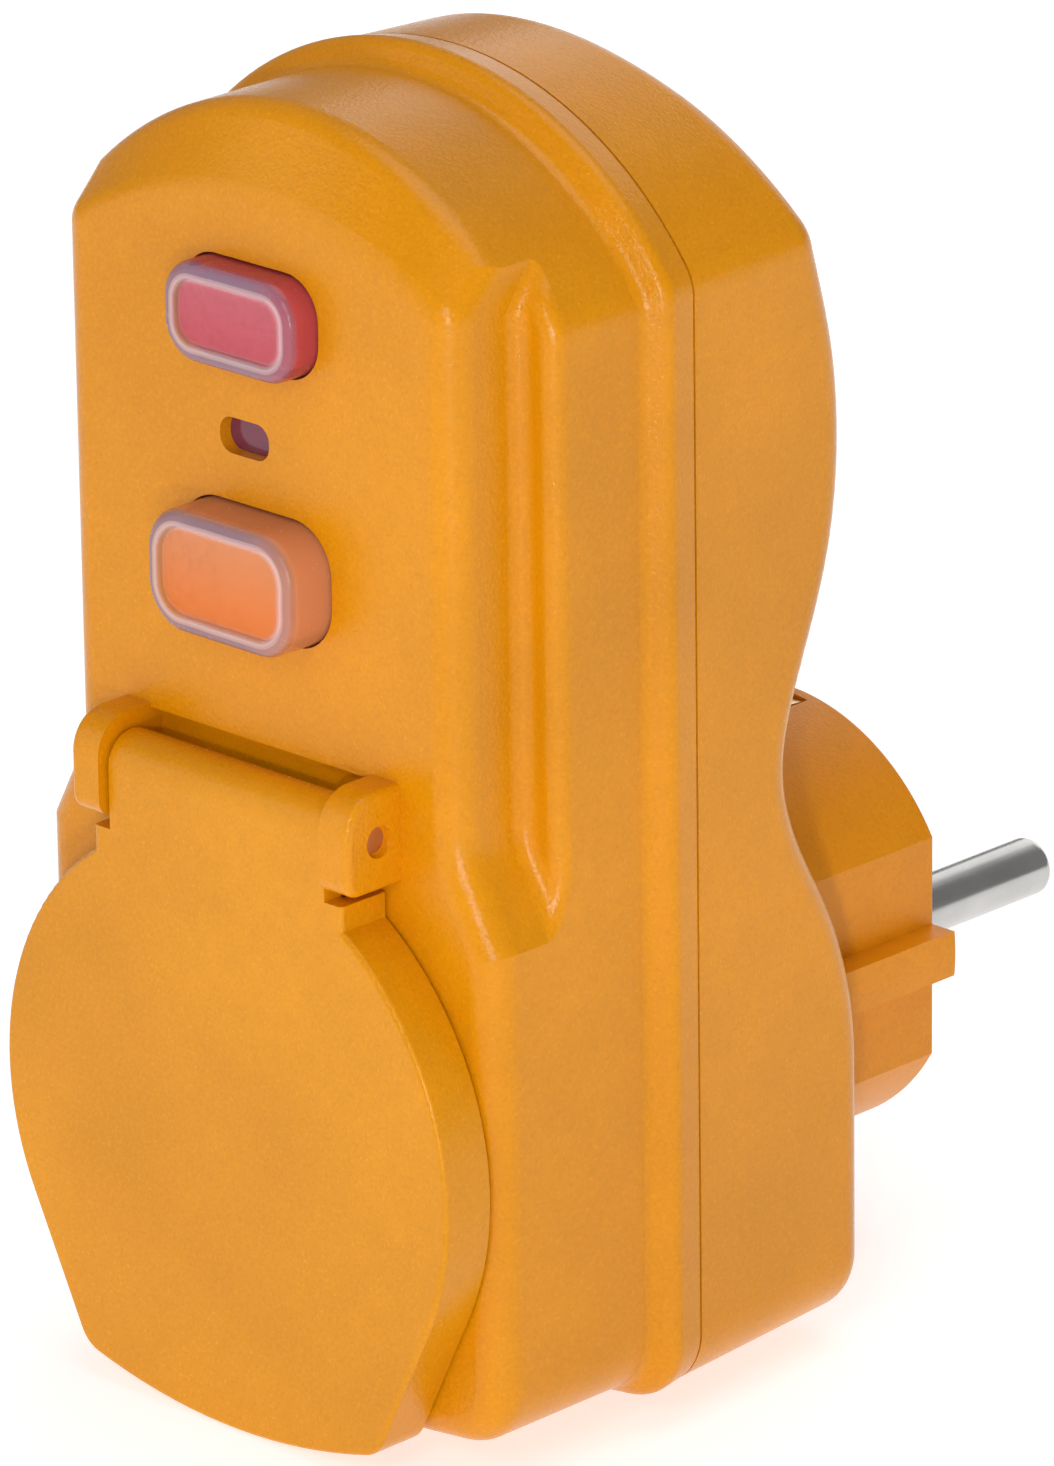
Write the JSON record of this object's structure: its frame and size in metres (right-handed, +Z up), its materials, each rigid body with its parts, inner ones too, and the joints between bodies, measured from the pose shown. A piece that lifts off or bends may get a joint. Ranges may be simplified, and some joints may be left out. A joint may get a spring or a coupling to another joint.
{
  "type": "plug-in residual current adapter",
  "caption": "Plug-in safety adapter: round earthed plug at the back, splash-proof socket with hinged lid, test and reset buttons and status lamp in front.",
  "frame": {"origin": "midway between the plug's two pins, on the plug's engagement face", "axes": "+X to the right seen from the socket side, +Y along the pins into the wall outlet, +Z up along the longest side"},
  "size_m": [0.0526, 0.0838, 0.1067],
  "materials": {
    "orange_housing": "fine spark-eroded texture, satin",
    "orange_lid": "fine spark-eroded texture, satin",
    "orange_plug": "fine texture, satin",
    "orange_insert": "smooth, satin",
    "black_rubber": "moulded, dull",
    "nickel": "bright nickel plate",
    "zinc_steel": "zinc plate",
    "spring_steel": "drawn wire",
    "spring_brass": "stamped strip",
    "hinge_brass": "drawn rod",
    "contact_silver": "silver alloy",
    "copper_wire": "enamelled copper",
    "white_plastic": "moulded",
    "black_plastic": "moulded",
    "lens_plastic": "polished, dark red",
    "lamp_red": "polished",
    "board_green": "lacquered laminate",
    "ferrite": "coated strip-wound core",
    "blue_ceramic": "epoxy dip",
    "clear_test_cover": "soft clear cover",
    "clear_reset_cover": "soft clear cover",
    "test_red": "moulded",
    "reset_orange": "moulded"
  },
  "bodies": {
    "housing": {"front_housing": "orange_housing", "rear_housing": "orange_housing", "housing_seal": "black_rubber", "housing_screws": "zinc_steel", "plug_body": "orange_plug", "plug_pin_line": "nickel", "plug_pin_neutral": "nickel", "plug_earth_contacts": "spring_brass", "socket_insert": "orange_insert", "socket_earth_clips": "spring_brass", "earth_bridge": "spring_brass", "socket_contact_line": "spring_brass", "socket_contact_neutral": "spring_brass", "supply_conductors": "copper_wire", "outlet_conductors": "copper_wire", "shutter_spring": "spring_steel", "lid_hinge_pin": "hinge_brass", "lid_spring": "spring_steel", "test_spring": "spring_steel", "reset_spring": "spring_steel", "button_guide": "white_plastic", "indicator_lens": "lens_plastic", "indicator_lamp": "lamp_red", "circuit_board": "board_green", "board_screws": "zinc_steel", "transformer_core": "ferrite", "transformer_winding": "copper_wire", "fixed_contacts": "contact_silver", "carriage_spring": "spring_steel", "test_contact": "spring_brass", "trip_frame": "zinc_steel", "trip_coil": "copper_wire", "trip_spring": "spring_steel", "latch_pivot": "zinc_steel", "control_chip": "black_plastic", "filter_capacitor": "black_plastic", "surge_varistor": "blue_ceramic", "test_resistor": "white_plastic"},
    "lid": {"lid": "orange_lid", "lid_gasket": "black_rubber"},
    "test_key": {"test_cap": "clear_test_cover", "test_button": "test_red"},
    "reset_key": {"reset_cap": "clear_reset_cover", "reset_button": "reset_orange"},
    "carriage": {"contact_carriage": "white_plastic", "moving_contacts": "contact_silver"},
    "plunger": {"trip_plunger": "zinc_steel"},
    "latch": {"latch_lever": "white_plastic"},
    "shutter": {"socket_shutter": "white_plastic"}
  },
  "joints": [
    {"name": "lid_hinge", "type": "hinge", "parent": "housing", "child": "lid", "pos_m": [0, -0.0614, 0.0256], "axis": [-1, 0, 0], "range_deg": [0, 115], "stiffness_Nm_per_rad": 0.012, "springref_deg": -57.3, "deforming": ["lid_spring"]},
    {"name": "test_press", "type": "slide", "parent": "housing", "child": "test_key", "axis": [0, 1, 0], "range_m": [0, 0.0012], "stiffness_N_per_m": 900, "springref_m": -0.0012, "deforming": ["test_spring"]},
    {"name": "reset_press", "type": "slide", "parent": "housing", "child": "reset_key", "axis": [0, 1, 0], "range_m": [0, 0.0025], "stiffness_N_per_m": 700, "springref_m": -0.0015, "deforming": ["reset_spring"]},
    {"name": "carriage_slide", "type": "slide", "parent": "housing", "child": "carriage", "axis": [0, 1, 0], "range_m": [0, 0.0025], "deforming": ["carriage_spring"]},
    {"name": "trip_slide", "type": "slide", "parent": "housing", "child": "plunger", "axis": [-1, 0, 0], "range_m": [0, 0.0015], "stiffness_N_per_m": 300, "springref_m": -0.001, "deforming": ["trip_spring"]},
    {"name": "latch_turn", "type": "hinge", "parent": "housing", "child": "latch", "pos_m": [0.0096, -0.044, 0.0366], "axis": [0, 1, 0], "range_deg": [0, 15]},
    {"name": "shutter_slide", "type": "slide", "parent": "housing", "child": "shutter", "axis": [0, 0, -1], "range_m": [0, 0.0062], "stiffness_N_per_m": 60, "springref_m": -0.003, "deforming": ["shutter_spring"]}
  ],
  "couplings": [
    {"joint": "carriage_slide", "follows": "reset_press", "ratio": 1},
    {"joint": "latch_turn", "follows": "trip_slide", "rad_per_m": 166.7}
  ]
}
